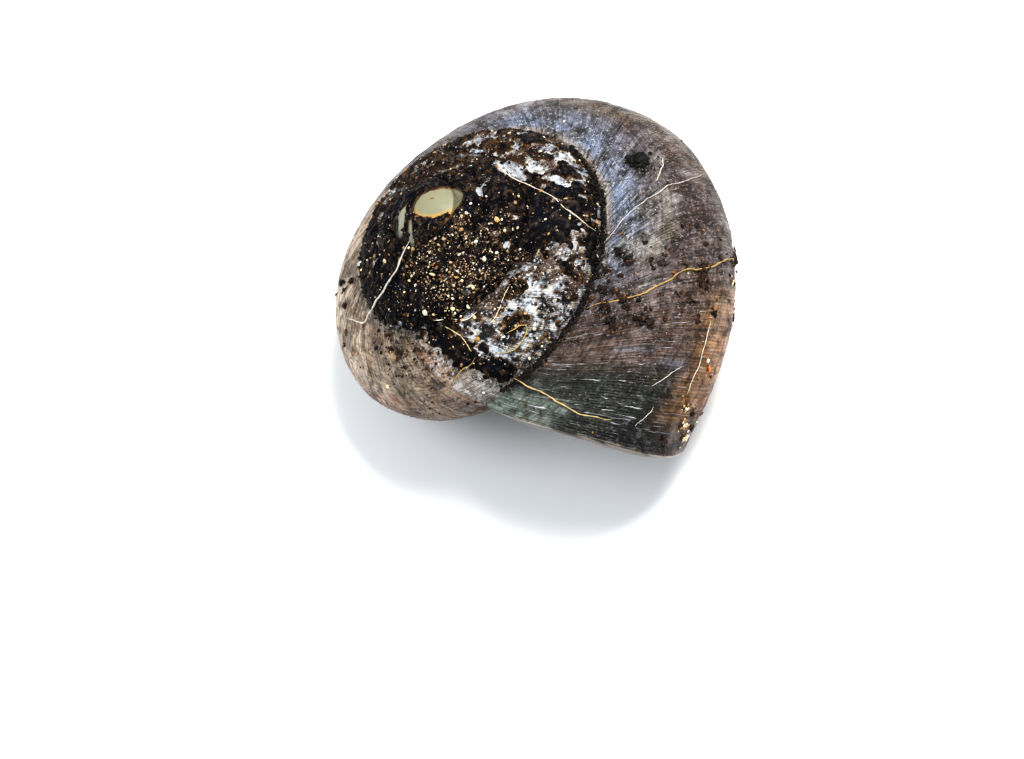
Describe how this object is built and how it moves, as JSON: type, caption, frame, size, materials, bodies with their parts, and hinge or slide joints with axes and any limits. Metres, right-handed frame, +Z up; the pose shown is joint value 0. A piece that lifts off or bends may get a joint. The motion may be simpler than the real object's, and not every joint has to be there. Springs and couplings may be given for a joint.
{
  "type": "land snail shell",
  "caption": "Low, rounded right-handed land snail shell with a thin flared lip, domed spire and sealed navel.",
  "frame": {"origin": "middle of the shell's box, on the surface that it rests on", "axes": "+Z up with the shell at rest on its lip and base; -Y towards the corner of the lip; the spire leans a little to -X and -Y"},
  "size_m": [0.01, 0.0112, 0.006],
  "materials": {
    "shell": "thin horny glaze over lilac grey lime, crusted with dark soil on the spire"
  },
  "bodies": {
    "root": {"shell": "shell"}
  },
  "joints": []
}
